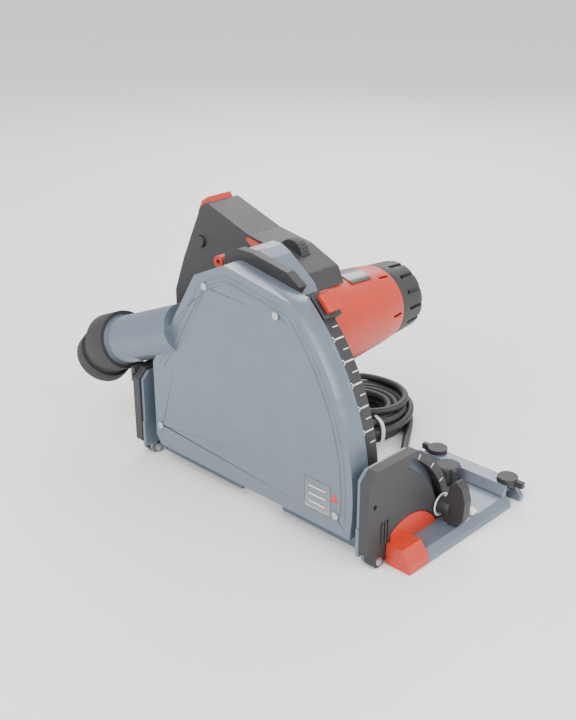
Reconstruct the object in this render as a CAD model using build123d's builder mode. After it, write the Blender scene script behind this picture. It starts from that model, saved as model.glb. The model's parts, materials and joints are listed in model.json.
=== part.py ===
from build123d import *
import math
import os

os.makedirs("parts", exist_ok=True)

# Track plunge saw. X runs forwards, Y from the guard side to the motor side, Z up.
# The origin is on the middle glide strip, halfway along the sole. Distances "from the cut line" are along Y.
# ---- driving dimensions, mm ----
BASE_LENGTH = 345
BASE_WIDTH = 178
PLATE_TOP = 12
SOLE_STRIP = 0.6
CUT_Y = -48                 # the blade's plane
NEAR_EDGE = 9               # plate's blade-side edge, from the cut line
TILT_Z = 7                  # height of the bevel axis
PIVOT_X = -108.5            # plunge pivot
PIVOT_Z = 55
ARM = 104                   # pivot to spindle
REST_ANGLE = 29             # spindle's direction from the pivot with the saw raised
BLADE_RADIUS = 81
BLADE_BORE = 10
BLADE_THICK = 1.8
GEAR_MODULE = 1.25
SPINDLE_TEETH = 27
IDLER_SMALL_TEETH = 18
IDLER_BIG_TEETH = 34
MOTOR_TEETH = 12
GEAR_LINE = 83              # direction of the gear centres, raised
GUARD_RADIUS = 230
SCALE_RADIUS = 222
SLOT_RADIUS = 90            # bevel slot about the bevel axis
SLOT_HALF = 4.5
SEGMENT_THICK = 10
DUCT_SLOPE = 22.5
DUCT_RADIUS = 25
DUCT_Y = 6
DUCT_END = (-217, 109.5)
MOTOR_RADIUS = 47
MOTOR_START = 58
MOTOR_END = 208
HANDLE_NEAR = 60
HANDLE_FAR = 102
RUNNING = 0.04              # radial clearance of running shafts
CORD_RADIUS = 4

FRONT = BASE_LENGTH / 2
REAR = -BASE_LENGTH / 2
FAR_EDGE = NEAR_EDGE + BASE_WIDTH


def around(cx, cz, radius, angle):
    """Point at an angle, in degrees, on a circle in the side view."""
    return (cx + radius * math.cos(math.radians(angle)), cz + radius * math.sin(math.radians(angle)))


SPINDLE = around(PIVOT_X, PIVOT_Z, ARM, REST_ANGLE)
IDLER = around(*SPINDLE, GEAR_MODULE * (SPINDLE_TEETH + IDLER_SMALL_TEETH) / 2, GEAR_LINE)
MOTOR = around(*IDLER, GEAR_MODULE * (IDLER_BIG_TEETH + MOTOR_TEETH) / 2, GEAR_LINE)


# ---- shapes that every section uses; each adds to the part being built ----
def side_plane(y, x=0, z=0):
    """Side view at y from the cut line; its normal points to the guard side."""
    return Plane(origin=(x, CUT_Y + y, z), x_dir=(1, 0, 0), z_dir=(0, -1, 0))


def disc(x, z, radius, y0, y1, mode=Mode.ADD):
    """Cylinder along Y at (x, z), from y0 to y1 from the cut line."""
    with Locations(Pos(x, CUT_Y + (y0 + y1) / 2, z) * Rot(90, 0, 0)):
        Cylinder(radius, y1 - y0, mode=mode)


def rod(y, z, radius, x0, x1, mode=Mode.ADD):
    """Cylinder along X at (y from the cut line, z)."""
    with Locations(Pos((x0 + x1) / 2, CUT_Y + y, z) * Rot(0, 90, 0)):
        Cylinder(radius, x1 - x0, mode=mode)


def post(x, y, radius, z0, z1, mode=Mode.ADD):
    """Cylinder along Z at (x, y from the cut line)."""
    with Locations(Pos(x, CUT_Y + y, (z0 + z1) / 2)):
        Cylinder(radius, z1 - z0, mode=mode)


def block(x0, x1, y0, y1, z0, z1, mode=Mode.ADD):
    """Box between two corners, y from the cut line."""
    with Locations(Pos((x0 + x1) / 2, CUT_Y + (y0 + y1) / 2, (z0 + z1) / 2)):
        Box(x1 - x0, y1 - y0, z1 - z0, mode=mode)


def slab(points, y0, y1, mode=Mode.ADD, rounding=0):
    """Plate with a side-view outline, from y0 to y1 from the cut line."""
    with BuildSketch(side_plane(y1)) as profile:
        with BuildLine():
            Polyline(*points, close=True)
        make_face()
        if rounding:
            fillet(profile.vertices(), rounding)
    extrude(profile.sketch, amount=y1 - y0, mode=mode)


def across(points, x0, x1, mode=Mode.ADD, rounding=0):
    """Plate with a front-view outline in (y from the cut line, z), from x0 to x1."""
    with BuildSketch(Plane.YZ.offset(x0)) as profile:
        with BuildLine():
            Polyline(*[(CUT_Y + y, z) for y, z in points], close=True)
        make_face()
        if rounding:
            fillet(profile.vertices(), rounding)
    extrude(profile.sketch, amount=x1 - x0, mode=mode)


def turned(points, x, z, mode=Mode.ADD, arc=360, start=0):
    """Body turned about the Y direction at (x, z) from (radius, y) points."""
    radial = (math.cos(math.radians(start)), 0, math.sin(math.radians(start)))
    plane = Plane(origin=(x, CUT_Y, z), x_dir=radial, z_dir=Vector(*radial).cross(Vector(0, 1, 0)))
    with BuildSketch(plane) as profile:
        with BuildLine():
            Polyline(*points, close=True)
        make_face()
    revolve(profile.sketch, axis=Axis((x, CUT_Y, z), (0, -1, 0)), revolution_arc=arc, mode=mode)


def band(radius_in, radius_out, angle_0, angle_1, y0, y1, mode=Mode.ADD):
    """Curved band about the plunge pivot between two angles."""
    centre = (PIVOT_X, PIVOT_Z)
    middle = (angle_0 + angle_1) / 2
    with BuildSketch(side_plane(y1)) as profile:
        with BuildLine():
            outer = [around(*centre, radius_out, a) for a in (angle_0, middle, angle_1)]
            inner = [around(*centre, radius_in, a) for a in (angle_1, middle, angle_0)]
            ThreePointArc(*outer)
            Line(outer[2], inner[0])
            ThreePointArc(*inner)
            Line(inner[2], outer[0])
        make_face()
    extrude(profile.sketch, amount=y1 - y0, mode=mode)


def save(builder, label):
    """Name the piece and write its file."""
    builder.part.label = label
    export_step(builder.part, "parts/" + label + ".step")


# ---- base plate: milled light-metal plate with the guide rail's raised rib ----
WIDE_REAR = 61.5            # the wide front part starts here
NARROW_FAR = 56             # far edge of the narrow rear part, from the cut line
REAR_FOOT = 30              # the plate is wider again under the rear segment
REAR_FAR = 112
RIB_NEAR = 158
RIB_TOP = 22
GROOVE = (165, 181)
LEG_NOTCH = 14
INSERT = (145.2, 36.5)      # corner taken by the front insert: X and far edge
KNOB_X, KNOB_Y = 110.5, 146
CAM_X = (160, 76)           # rail adjusters, front and rear
CAM_Y = 176
SCREW_Y = (91, 98.5)        # segment screws, from the cut line
SCREW_HEAD_TOP = 4
SCREW_TOP = 17
FRONT_SEGMENT_X = 134.5
REAR_SEGMENT_X = REAR


def segment_screw_places():
    """X and Y, from the cut line, of the screws that hold the two segments."""
    return [(x + SEGMENT_THICK / 2, y) for x in (FRONT_SEGMENT_X, REAR_SEGMENT_X) for y in SCREW_Y]


with BuildPart() as base_plate:
    with BuildSketch(Plane.XY.offset(SOLE_STRIP)):
        with BuildLine():
            Polyline(
                (REAR, CUT_Y + LEG_NOTCH),
                (REAR + 16, CUT_Y + LEG_NOTCH),
                (REAR + 16, CUT_Y + NEAR_EDGE),
                (-38, CUT_Y + NEAR_EDGE),
                (-38, CUT_Y + 40),
                (18, CUT_Y + 40),
                (18, CUT_Y + NEAR_EDGE),
                (FRONT - 44.5, CUT_Y + NEAR_EDGE),
                (FRONT - 44.5, CUT_Y + LEG_NOTCH),
                (INSERT[0] - 0.3, CUT_Y + LEG_NOTCH),
                (INSERT[0] - 0.3, CUT_Y + INSERT[1]),
                (FRONT, CUT_Y + INSERT[1]),
                (FRONT, CUT_Y + FAR_EDGE),
                (WIDE_REAR, CUT_Y + FAR_EDGE),
                (WIDE_REAR, CUT_Y + NARROW_FAR),
                (REAR + REAR_FOOT, CUT_Y + NARROW_FAR),
                (REAR + REAR_FOOT, CUT_Y + REAR_FAR),
                (REAR, CUT_Y + REAR_FAR),
                close=True,
            )
        make_face()
    extrude(amount=PLATE_TOP - SOLE_STRIP)
    chamfer(base_plate.edges().filter_by(Axis.Y).group_by(Axis.X)[-1].sort_by(Axis.Z)[-1:], 6)
    across(
        [
            (RIB_NEAR, PLATE_TOP - 1),
            (RIB_NEAR, PLATE_TOP + 2),
            (RIB_NEAR + 6, RIB_TOP),
            (FAR_EDGE - 6, RIB_TOP),
            (FAR_EDGE, PLATE_TOP + 3),
            (FAR_EDGE, PLATE_TOP - 1),
        ],
        WIDE_REAR,
        FRONT - 6,
    )
    block(WIDE_REAR - 1, FRONT + 1, *GROOVE, 0, 16.5, mode=Mode.SUBTRACT)
    for cam_x in CAM_X:
        post(cam_x, CAM_Y, 10.5, 17.5, RIB_TOP + 1, mode=Mode.SUBTRACT)
    block(CAM_X[0], FRONT + 1, CAM_Y - 10.5, FAR_EDGE + 1, 17.5, RIB_TOP + 1, mode=Mode.SUBTRACT)
    block(WIDE_REAR - 1, CAM_X[1], CAM_Y - 10.5, FAR_EDGE + 1, 17.5, RIB_TOP + 1, mode=Mode.SUBTRACT)
    for cam_x in CAM_X:
        post(cam_x, CAM_Y, 3 + RUNNING, 12, 18, mode=Mode.SUBTRACT)
    post(KNOB_X, KNOB_Y, 4 + RUNNING, -1, PLATE_TOP + 1, mode=Mode.SUBTRACT)
    for place in segment_screw_places():
        post(*place, 2, 0, PLATE_TOP + 1, mode=Mode.SUBTRACT)
        post(*place, 3.6, 0, SCREW_HEAD_TOP, mode=Mode.SUBTRACT)
save(base_plate, "base_plate")

# ---- glide strips: low-friction strips glued under the plate ----
STRIPS = ((NEAR_EDGE + 7, NEAR_EDGE + 19), (GROOVE[0] - 16, GROOVE[0] - 4))
with BuildPart() as glide_strips:
    block(REAR + 20, -42, *STRIPS[0], 0, SOLE_STRIP)
    block(REAR + 20, FRONT - 32, 43, 53, 0, SOLE_STRIP)
    block(22, FRONT - 46, *STRIPS[0], 0, SOLE_STRIP)
    block(WIDE_REAR + 4, FRONT - 8, *STRIPS[1], 0, SOLE_STRIP)
save(glide_strips, "glide_strips")

# ---- bevel segments: moulded plates that the head tilts along ----
SEGMENT_TOP = 98
SEGMENT_OUTER = 103
WINDOW = (42, -10, 46)      # round window: y, z and radius
BOLT_ANGLE = 13
TILT_RANGE = (-1, 48)
LUG_RADIUS = 6.8
PIN_RADIUS = 4


def about_tilt(radius, angle):
    """Point in (y from the cut line, z) on a circle about the bevel axis."""
    return around(0, TILT_Z, radius, angle)


def bevel_outline(grow, low, right):
    """Front-view outline shared by the segments and the head's end flanges."""
    corner = math.degrees(math.asin((SEGMENT_TOP + grow - TILT_Z) / (SEGMENT_OUTER + grow)))
    start = math.degrees(math.asin((low - TILT_Z) / (SEGMENT_OUTER + grow)))
    arc = [about_tilt(SEGMENT_OUTER + grow, start + (corner - start) * k / 2) for k in range(3)]
    arc = [(CUT_Y + y, z) for y, z in arc]
    with BuildLine() as outline:
        ThreePointArc(*arc)
        Polyline(
            arc[2],
            (CUT_Y - 6, SEGMENT_TOP + grow),
            (CUT_Y - 16 - grow, SEGMENT_TOP - 10),
            (CUT_Y - 16 - grow, low + 6),
            (CUT_Y - 7, low),
            (CUT_Y + right, low),
            arc[0],
        )
    return outline.edges()


def slot_line(angle_0, angle_1):
    """Centre line of a bevel slot, in the front view."""
    points = [about_tilt(SLOT_RADIUS, a) for a in (angle_0, (angle_0 + angle_1) / 2, angle_1)]
    return [(CUT_Y + y, z) for y, z in points]


def bevel_segment(x, window):
    """Segment plate with its slot, window and pin lug, from x to x + its thickness."""
    with BuildSketch(Plane.YZ.offset(x)) as profile:
        make_face(bevel_outline(0, PLATE_TOP, 13))
        with Locations((CUT_Y, TILT_Z)):
            Circle(LUG_RADIUS)
        with Locations((CUT_Y, TILT_Z + 6)):
            Rectangle(2 * LUG_RADIUS, 8)
        with BuildSketch(mode=Mode.SUBTRACT):
            with BuildLine():
                ThreePointArc(*slot_line(BOLT_ANGLE + TILT_RANGE[0] - 3, BOLT_ANGLE + TILT_RANGE[1] + 3))
            trace(line_width=2 * SLOT_HALF + 0.6)
        with BuildSketch(mode=Mode.SUBTRACT):
            with Locations((CUT_Y + WINDOW[0], WINDOW[1])):
                Circle(window)
            with Locations((CUT_Y - 30, 0)):
                Rectangle(2 * 44, 300, mode=Mode.SUBTRACT)
            with Locations((CUT_Y, -40)):
                Rectangle(400, 2 * (40 + PLATE_TOP), mode=Mode.SUBTRACT)
        with Locations((CUT_Y, TILT_Z)):
            Circle(PIN_RADIUS, mode=Mode.SUBTRACT)
    extrude(profile.sketch, amount=SEGMENT_THICK)
    for screw_y in SCREW_Y:
        post(x + SEGMENT_THICK / 2, screw_y, 2, PLATE_TOP - 1, SCREW_TOP, mode=Mode.SUBTRACT)


with BuildPart() as front_segment:
    bevel_segment(FRONT_SEGMENT_X, WINDOW[2])
    for rib in range(3):
        block(FRONT - 28, FRONT - 26.5, 2 + 4 * rib, 4 + 4 * rib, 24, 44)
    rod(-7, 64, 2.5, FRONT_SEGMENT_X + 4, FRONT, mode=Mode.SUBTRACT)
save(front_segment, "front_segment")

with BuildPart() as rear_segment:
    bevel_segment(REAR_SEGMENT_X, WINDOW[2] - 4)
    block(REAR - 5, REAR + 1, -14, 20, SEGMENT_TOP - 6, SEGMENT_TOP)
    block(REAR - 5, REAR - 2, -14, 20, SEGMENT_TOP - 16, SEGMENT_TOP - 6)
save(rear_segment, "rear_segment")

# ---- segment screws: M4 screws up through the plate into the segment feet ----
with BuildPart() as segment_screws:
    for place in segment_screw_places():
        post(*place, 2, 1.5, SCREW_TOP)
        post(*place, 3.6, 1, SCREW_HEAD_TOP)
save(segment_screws, "segment_screws")

# ---- tilt pins: steel pins pressed into the segment lugs ----
with BuildPart() as tilt_pins:
    rod(0, TILT_Z, PIN_RADIUS, FRONT_SEGMENT_X - 6, FRONT_SEGMENT_X + SEGMENT_THICK + 1)
    rod(0, TILT_Z, PIN_RADIUS, REAR_SEGMENT_X - 2, REAR_SEGMENT_X + SEGMENT_THICK + 6)
save(tilt_pins, "tilt_pins")

# ---- front insert: moulded corner block and the shield inside the front segment's window ----
SHIELD_X = (136.5, 145.5)
with BuildPart() as front_insert:
    slab(
        [(INSERT[0], SOLE_STRIP), (FRONT, SOLE_STRIP), (FRONT, 9), (FRONT - 10, 21), (INSERT[0], 21)],
        NEAR_EDGE,
        INSERT[1] - 0.3,
    )
    block(SHIELD_X[0], INSERT[0] + 1, LEG_NOTCH + 1, INSERT[1] - 0.3, PLATE_TOP + 0.1, 21)
    with BuildSketch(Plane.YZ.offset(SHIELD_X[0])) as shield:
        with Locations((CUT_Y + WINDOW[0], WINDOW[1])):
            Circle(WINDOW[2] - 0.8)
        with Locations((CUT_Y - 30, 0)):
            Rectangle(2 * 45, 300, mode=Mode.SUBTRACT)
        with Locations((CUT_Y, -40)):
            Rectangle(400, 2 * (40 + PLATE_TOP + 0.1), mode=Mode.SUBTRACT)
    extrude(shield.sketch, amount=SHIELD_X[1] - SHIELD_X[0])
save(front_insert, "front_insert")

# ---- guide clamp knob: fluted knob on a screw that grips the guide rail ----
with BuildPart() as guide_clamp_knob:
    post(KNOB_X, KNOB_Y, 13, PLATE_TOP + 4, PLATE_TOP + 20)
    fillet(guide_clamp_knob.edges().group_by(Axis.Z)[-1], 3)
    post(KNOB_X, KNOB_Y, 8, PLATE_TOP + 0.4, PLATE_TOP + 5)
    post(KNOB_X, KNOB_Y, 4, 2, PLATE_TOP + 2)
    with Locations(Pos(KNOB_X, CUT_Y + KNOB_Y, PLATE_TOP + 12)):
        with PolarLocations(14.6, 8):
            Cylinder(3.2, 30, mode=Mode.SUBTRACT)
    post(KNOB_X, KNOB_Y, 8, PLATE_TOP + 0.4, PLATE_TOP + 8)
save(guide_clamp_knob, "guide_clamp_knob")

# ---- rail adjusters: eccentric cams that take up play on the guide rail ----
CAM_LABELS = ("rail_adjuster_front", "rail_adjuster_rear")
for cam_x, cam_label, cam_turn in zip(CAM_X, CAM_LABELS, (0, 180)):
    with BuildPart() as rail_adjuster:
        post(cam_x, CAM_Y, 10, 17.9, 26)
        with Locations(Pos(cam_x, CUT_Y + CAM_Y, 22) * Rot(0, 0, cam_turn) * Pos(12, 0, 0)):
            Box(12, 5, 6)
        post(cam_x, CAM_Y, 3, 10, 19)
        post(cam_x - 0.6, CAM_Y, 3.2, 9, 15)
    save(rail_adjuster, cam_label)

# ---- tilt frame: die-cast back plate of the head with its end flanges and plunge boss ----
BACK_PLATE = (10, 13)       # from the cut line
GUARD_LOW = 21
NECK_RADIUS = 21.5
FLANGE = 3.8
FRONT_FLANGE_X = FRONT_SEGMENT_X - 0.5 - FLANGE
REAR_FLANGE_X = REAR + SEGMENT_THICK + 0.5
SHAFT_RADIUS = 6


def guard_outline():
    """Side-view outline of the guard: straight rear and top, round front."""
    top_front = around(PIVOT_X, PIVOT_Z, GUARD_RADIUS, 47.4)
    low_angle = -math.degrees(math.asin((PIVOT_Z - GUARD_LOW) / GUARD_RADIUS))
    low_front = around(PIVOT_X, PIVOT_Z, GUARD_RADIUS, low_angle)
    with BuildLine() as outline:
        Polyline(
            low_front, (-138.5, GUARD_LOW), (-145.5, 30), (-145.5, 112), (-77.5, 220), (-36.5, 239), top_front
        )
        ThreePointArc(top_front, around(PIVOT_X, PIVOT_Z, GUARD_RADIUS, 20), low_front)
    return outline.edges()


def end_flange(x):
    """Flange that runs on a segment: same outline, with a hole for the pin and for the clamp bolt."""
    with BuildSketch(Plane.YZ.offset(x)) as profile:
        make_face(bevel_outline(-2, 16, 13))
        with Locations((CUT_Y, TILT_Z)):
            Circle(LUG_RADIUS)
        with Locations((CUT_Y, TILT_Z + 6)):
            Rectangle(2 * LUG_RADIUS, 10)
        with Locations((CUT_Y + WINDOW[0], WINDOW[1])):
            Circle(WINDOW[2] + 1, mode=Mode.SUBTRACT)
        with Locations((CUT_Y, TILT_Z)):
            Circle(PIN_RADIUS + RUNNING, mode=Mode.SUBTRACT)
        with BuildSketch():
            with Locations((CUT_Y - 1, 27)):
                Rectangle(2 * 14, 28)
        with Locations((CUT_Y, TILT_Z)):
            Circle(PIN_RADIUS + RUNNING, mode=Mode.SUBTRACT)
    extrude(profile.sketch, amount=FLANGE)


DUCT_DIRECTION = Vector(math.cos(math.radians(DUCT_SLOPE)), 0, math.sin(math.radians(DUCT_SLOPE)))
DUCT_MOUTH = Vector(DUCT_END[0], CUT_Y + DUCT_Y, DUCT_END[1])
DUCT_LENGTH = 112
DUCT_BORE = 22


def along_duct(radius, start, length, mode=Mode.ADD):
    """Cylinder on the duct's axis, measured forwards from its mouth."""
    with BuildSketch(Plane(origin=DUCT_MOUTH + DUCT_DIRECTION * start, z_dir=DUCT_DIRECTION)) as ring:
        Circle(radius)
    extrude(ring.sketch, amount=length, mode=mode)


with BuildPart() as tilt_frame:
    with BuildSketch(side_plane(BACK_PLATE[1])) as back:
        make_face(guard_outline())
        offset(amount=-0.5, kind=Kind.INTERSECTION)
    extrude(back.sketch, amount=BACK_PLATE[1] - BACK_PLATE[0])
    band(ARM - 24, ARM + 24, -32, REST_ANGLE, BACK_PLATE[0] - 1, BACK_PLATE[1] + 1, mode=Mode.SUBTRACT)
    disc(*SPINDLE, 24, BACK_PLATE[0] - 1, BACK_PLATE[1] + 1, mode=Mode.SUBTRACT)
    along_duct(DUCT_RADIUS, 0, DUCT_LENGTH, mode=Mode.SUBTRACT)
    end_flange(FRONT_FLANGE_X)
    end_flange(REAR_FLANGE_X)
    block(98, FRONT_FLANGE_X + 1, *BACK_PLATE, GUARD_LOW + 1, 84)
    block(FRONT_FLANGE_X - 8.4, FRONT_FLANGE_X + 1, 4, BACK_PLATE[1], GUARD_LOW + 1, 70)
    block(REAR_FLANGE_X + 1, -140, *BACK_PLATE, 31, 84)
    disc(PIVOT_X, PIVOT_Z, 17, BACK_PLATE[0], 18)
    disc(PIVOT_X, PIVOT_Z, SHAFT_RADIUS, 0, 20, mode=Mode.SUBTRACT)
    bolt_y, bolt_z = about_tilt(SLOT_RADIUS, BOLT_ANGLE)
    for flange_x in (FRONT_FLANGE_X, REAR_FLANGE_X):
        rod(bolt_y, bolt_z, 3, flange_x - 1, flange_x + FLANGE + 1, mode=Mode.SUBTRACT)
save(tilt_frame, "tilt_frame")

# ---- guard housing: die-cast shell over the blade with the dust duct cast on ----
FACE = (-10, -7.5)
WALL = 4
SCREW_LUGS = ((30, 209), (-62, 213), (-136, 44), (103, 40))
WINDOW_HOLE = (64, 96, 34, 66)


def guard_cavity():
    """Hollow of the guard, open at the bottom and towards the back plate."""
    with BuildSketch(side_plane(BACK_PLATE[0])) as hollow:
        make_face(guard_outline())
        offset(amount=-WALL, kind=Kind.INTERSECTION)
    extrude(hollow.sketch, amount=BACK_PLATE[0] - FACE[1], mode=Mode.SUBTRACT)
    block(-141, 112, FACE[1], BACK_PLATE[0], GUARD_LOW - 1, GUARD_LOW + 6, mode=Mode.SUBTRACT)


with BuildPart() as guard_housing:
    with BuildSketch(side_plane(BACK_PLATE[0])) as shell:
        make_face(guard_outline())
    extrude(shell.sketch, amount=BACK_PLATE[0] - FACE[0])
    along_duct(DUCT_RADIUS, 0, DUCT_LENGTH)
    along_duct(DUCT_RADIUS + 2, 0, 8)
    along_duct(DUCT_BORE, -1, DUCT_LENGTH - 3, mode=Mode.SUBTRACT)
    guard_cavity()
    for lug in SCREW_LUGS:
        disc(*lug, 5, FACE[0], BACK_PLATE[0])
        disc(*lug, 2, FACE[0] - 1, BACK_PLATE[0] + 1, mode=Mode.SUBTRACT)
    block(*WINDOW_HOLE[:2], FACE[0] - 1, FACE[1] + 1, *WINDOW_HOLE[2:], mode=Mode.SUBTRACT)
save(guard_housing, "guard_housing")

# ---- cover screws: four screws through the guard housing into the tilt frame ----
with BuildPart() as cover_screws:
    for lug in SCREW_LUGS:
        disc(*lug, 2, FACE[0] - 1, BACK_PLATE[0])
        disc(*lug, 3.6, FACE[0] - 2, FACE[0])
save(cover_screws, "cover_screws")

# ---- sight window: clear pane in front of the blade's cutting edge ----
with BuildPart() as sight_window:
    block(*WINDOW_HOLE[:2], FACE[0] - 0.3, FACE[0] + 1.7, *WINDOW_HOLE[2:])
save(sight_window, "sight_window")

# ---- depth scale: moulded curved strip with the bumper band on the guard's top ----
SCALE_Y = (13, 35)
with BuildPart() as depth_scale:
    band(SCALE_RADIUS - 3, SCALE_RADIUS, -4, 49, *SCALE_Y)
    band(SCALE_RADIUS - 10, SCALE_RADIUS, -4, 49, SCALE_Y[0], SCALE_Y[0] + 2.5)
    slab(
        [(-62, 226), (-60, 240), (-42, 248), (-24, 248), (20, 240), (36, 230), (28, 218), (-36, 230)],
        SCALE_Y[0],
        22.5,
    )
save(depth_scale, "depth_scale")

# ---- up-stop buffer: rubber ring that the raised arm comes to rest against ----
with BuildPart() as up_stop_buffer:
    disc(-69, 229, 6, SCALE_Y[0], 22.5)
    disc(-69, 229, 2.5, SCALE_Y[0] - 1, 23, mode=Mode.SUBTRACT)
save(up_stop_buffer, "up_stop_buffer")

# ---- plunge shaft and return spring ----
SLEEVE = (18.3, 57.5)
SPRING_POCKET = (40, 54)
with BuildPart() as plunge_shaft:
    disc(PIVOT_X, PIVOT_Z, SHAFT_RADIUS, BACK_PLATE[0], SLEEVE[1] + 1)
    disc(PIVOT_X, PIVOT_Z, 9, SLEEVE[1] + 0.4, SLEEVE[1] + 4)
save(plunge_shaft, "plunge_shaft")

with BuildPart() as return_spring:
    with BuildLine() as coil:
        Helix(
            pitch=2.6,
            height=10.4,
            radius=9.3,
            center=(PIVOT_X, CUT_Y + SPRING_POCKET[0] + 1.8, PIVOT_Z),
            direction=(0, 1, 0),
        )
    with BuildSketch(Plane(origin=coil.line @ 0, z_dir=coil.line % 0)):
        Circle(1)
    sweep(is_frenet=True)
save(return_spring, "return_spring")

# ---- clamp bolts, each with its slot washer under the knob ----
WASHER_GAP = 0.4
WASHER = 1.6
FRONT_FACE_X = FRONT_SEGMENT_X + SEGMENT_THICK
BOLT_END = 10
with BuildPart() as clamp_bolts:
    rod(bolt_y, bolt_z, 3, FRONT_FLANGE_X - 3, FRONT_FACE_X + BOLT_END)
    rod(bolt_y, bolt_z, 5.5, FRONT_FLANGE_X - 4, FRONT_FLANGE_X)
    rod(bolt_y, bolt_z, 3, REAR - BOLT_END, REAR_FLANGE_X + FLANGE + 3)
    rod(bolt_y, bolt_z, 5.5, REAR_FLANGE_X + FLANGE, REAR_FLANGE_X + FLANGE + 4)
    for washer_x in (FRONT_FACE_X + WASHER_GAP, REAR - WASHER_GAP - WASHER):
        rod(bolt_y, bolt_z, 9, washer_x, washer_x + WASHER)
save(clamp_bolts, "clamp_bolts")

# ---- bevel clamp knobs: winged levers on the clamp bolts ----
WING = ((3, -9), (7, -13), (22, -13), (27, -4), (28, 14), (24, 27), (17, 32), (11, 27), (8, 14), (3, 9))
for knob_label, knob_x, outward in (
    ("bevel_knob_front", FRONT_FACE_X + 2.2, 1),
    ("bevel_knob_rear", REAR - 2.2, -1),
):
    with BuildPart() as bevel_knob:
        slab([(knob_x + outward * x, bolt_z + z) for x, z in WING], bolt_y - 5, bolt_y + 5, rounding=2)
        rod(bolt_y, bolt_z, 8, min(knob_x, knob_x + outward * 12), max(knob_x, knob_x + outward * 12))
        rod(bolt_y, bolt_z, 3 + RUNNING, knob_x - 9, knob_x + 9, mode=Mode.SUBTRACT)
    save(bevel_knob, knob_label)

# ---- dust boot: two-stage rubber elbow that turns on the duct's mouth ----
BOOT_DROP = 45
BOOT_DIRECTION = Vector(-math.cos(math.radians(BOOT_DROP)), 0, -math.sin(math.radians(BOOT_DROP)))
BOOT_BEND = DUCT_MOUTH - DUCT_DIRECTION * 12
HOSE_RADIUS = 17.5


def boot_stage(radius, start, length, mode=Mode.ADD):
    """Cylinder on the boot's outlet axis, measured outwards from its bend."""
    with BuildSketch(Plane(origin=BOOT_BEND + BOOT_DIRECTION * start, z_dir=BOOT_DIRECTION)) as ring:
        Circle(radius)
    extrude(ring.sketch, amount=length, mode=mode)


with BuildPart() as dust_boot:
    along_duct(31, -22, 30)
    boot_stage(27, -4, 38)
    boot_stage(30, 22, 14)
    along_duct(DUCT_RADIUS + 2 + 0.35, -0.3, 9, mode=Mode.SUBTRACT)
    along_duct(DUCT_BORE, -14, 15, mode=Mode.SUBTRACT)
    boot_stage(HOSE_RADIUS, -2, 40, mode=Mode.SUBTRACT)
save(dust_boot, "dust_boot")

# ---- depth stop: carrier that hooks round the scale, with its release button ----
STOP_ANGLE = 44.6
with BuildPart() as depth_stop:
    band(SCALE_RADIUS + 0.5, SCALE_RADIUS + 6, STOP_ANGLE - 3, STOP_ANGLE + 3, 17, 40)
    band(SCALE_RADIUS - 8, SCALE_RADIUS - 3.5, STOP_ANGLE - 3, STOP_ANGLE + 3, 17, 40)
    band(SCALE_RADIUS - 8, SCALE_RADIUS + 6, STOP_ANGLE - 3, STOP_ANGLE + 3, 36, 40)
save(depth_stop, "depth_stop")

with BuildPart() as stop_button:
    band(SCALE_RADIUS + 8, SCALE_RADIUS + 13, STOP_ANGLE - 2.2, STOP_ANGLE + 2.2, 20, 36)
save(stop_button, "stop_button")

# ---- gear case: die-cast plunge arm with the gear train inside and the motor's seat ----
DEEP = 38.5                 # the low part round the spindle ends here
GEAR_WALL = 57.5
FRONT_BEARING = (9.8, 18.8)
REAR_BEARING = (31.5, 35)
MOTOR_BEARINGS = ((46.5, 53.5), (176, 183))
LOCK_PLACE = (46, 160)      # spindle lock button, high enough to clear the plate at full depth
with BuildPart() as gear_case:
    slab(
        [
            (-126, 52),
            (-118, 80),
            (-86, 128),
            (-76, 172),
            (-80, 214),
            (-66, 232),
            (-42, 246),
            (-30, 246),
            (-18, 240),
            (12, 218),
            (34, 180),
            (-10, 112),
            (-60, 66),
            (-96, 40),
        ],
        23.5,
        GEAR_WALL,
        rounding=5,
    )
    disc(*MOTOR, 45.4, 23.5, GEAR_WALL)
    disc(*SPINDLE, NECK_RADIUS, 9.5, DEEP)
    disc(*IDLER, 25.5, 15, 52)
    disc(PIVOT_X, PIVOT_Z, 17, *SLEEVE)
    disc(PIVOT_X, PIVOT_Z, SHAFT_RADIUS + RUNNING, SLEEVE[0] - 1, SLEEVE[1] + 1, mode=Mode.SUBTRACT)
    disc(PIVOT_X, PIVOT_Z, 12.5, *SPRING_POCKET, mode=Mode.SUBTRACT)
    disc(*SPINDLE, 18.7, 20, 33, mode=Mode.SUBTRACT)
    disc(*SPINDLE, 16, 9, FRONT_BEARING[1], mode=Mode.SUBTRACT)
    disc(*SPINDLE, 9, 9, REAR_BEARING[1], mode=Mode.SUBTRACT)
    disc(*SPINDLE, 9.5, *REAR_BEARING, mode=Mode.SUBTRACT)
    disc(*IDLER, 13.4, 20, 36, mode=Mode.SUBTRACT)
    disc(*IDLER, 23.3, 34, 45.5, mode=Mode.SUBTRACT)
    disc(*IDLER, 4 + RUNNING, 16, 50.5, mode=Mode.SUBTRACT)
    disc(*MOTOR, 10, 32.5, GEAR_WALL + 1, mode=Mode.SUBTRACT)
    disc(*MOTOR, 11, *MOTOR_BEARINGS[0], mode=Mode.SUBTRACT)
    rod(*LOCK_PLACE, 5.4, 25, 60, mode=Mode.SUBTRACT)
save(gear_case, "gear_case")

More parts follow.
